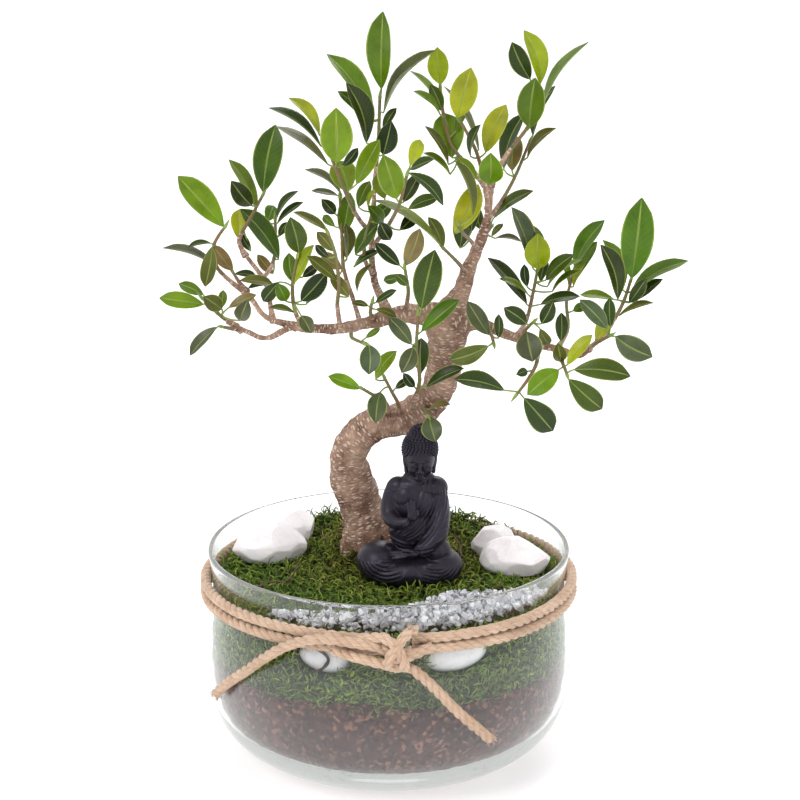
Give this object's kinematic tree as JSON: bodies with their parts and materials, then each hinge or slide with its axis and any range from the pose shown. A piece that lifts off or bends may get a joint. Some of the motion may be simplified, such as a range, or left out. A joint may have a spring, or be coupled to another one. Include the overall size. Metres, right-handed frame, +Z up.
{
  "type": "potted bonsai fig tree",
  "caption": "Small bonsai fig tree growing from moss in a clear glass bowl, with stones, a seated figurine and jute rope tied round the neck.",
  "frame": {"origin": "centre of the underside of the bowl's flat base", "axes": "+Z up; -Y is the front, where the rope is knotted; +X is to the right seen from the front"},
  "size_m": [0.3155, 0.2457, 0.4627],
  "materials": {
    "clear_glass": "clear, smooth, slightly green at the edges",
    "dark_soil": "damp dark brown peat-like potting mix, rough",
    "moss_green": "live green moss, fibrous",
    "white_pebble": "smooth white pebble",
    "dark_bark": "dark strip of bark",
    "chip_glass": "clear crushed glass",
    "pale_quartz": "pale quartz, slightly pink, chipped faces",
    "dry_twig": "dry dark twig",
    "charcoal_resin": "cast charcoal resin with a soft sheen",
    "jute_rope": "twisted natural jute",
    "fig_bark": "brown bark with pale dashes",
    "fig_leaf": "glossy green leaf with a pale midrib"
  },
  "bodies": {
    "root": {"bark_strip": "dark_bark", "dry_twig_far_right": "dry_twig", "dry_twig_left": "dry_twig", "dry_twig_left_mid": "dry_twig", "dry_twig_right": "dry_twig", "glass_bowl": "clear_glass", "glass_chips": "chip_glass", "moss_bed": "moss_green", "pebble_front_left": "white_pebble", "pebble_front_right": "white_pebble", "rope_knot": "jute_rope", "rope_tail_left": "jute_rope", "rope_tail_right": "jute_rope", "rope_turn_lower": "jute_rope", "rope_turn_upper": "jute_rope", "seated_figurine": "charcoal_resin", "shoot_bend_left": "fig_leaf", "shoot_bend_right": "fig_leaf", "shoot_bend_rise": "fig_leaf", "shoot_bend_small": "fig_leaf", "shoot_branch_fan": "fig_leaf", "shoot_branch_hanging": "fig_leaf", "shoot_branch_top": "fig_leaf", "shoot_leader_front": "fig_leaf", "shoot_leader_low": "fig_leaf", "shoot_leader_right": "fig_leaf", "shoot_leader_top": "fig_leaf", "shoot_left_flaky": "fig_leaf", "shoot_left_front": "fig_leaf", "shoot_left_hanging": "fig_leaf", "shoot_left_inner": "fig_leaf", "shoot_left_low": "fig_leaf", "shoot_left_mid": "fig_leaf", "shoot_left_rising": "fig_leaf", "shoot_left_tan": "fig_leaf", "shoot_left_upper": "fig_leaf", "shoot_mid_fan": "fig_leaf", "shoot_mid_right": "fig_leaf", "shoot_right_fork": "fig_leaf", "shoot_right_inner": "fig_leaf", "shoot_right_low": "fig_leaf", "shoot_right_mid": "fig_leaf", "shoot_right_start": "fig_leaf", "shoot_right_tall": "fig_leaf", "shoot_right_tip": "fig_leaf", "shoot_right_young": "fig_leaf", "shoot_top_back": "fig_leaf", "shoot_top_left": "fig_leaf", "shoot_top_mid": "fig_leaf", "shoot_top_right": "fig_leaf", "shoot_trunk_arch": "fig_leaf", "soil": "dark_soil", "stone_left_back": "pale_quartz", "stone_left_front": "pale_quartz", "stone_right_back": "pale_quartz", "stone_right_front": "pale_quartz", "trunk": "fig_bark"}
  },
  "joints": []
}
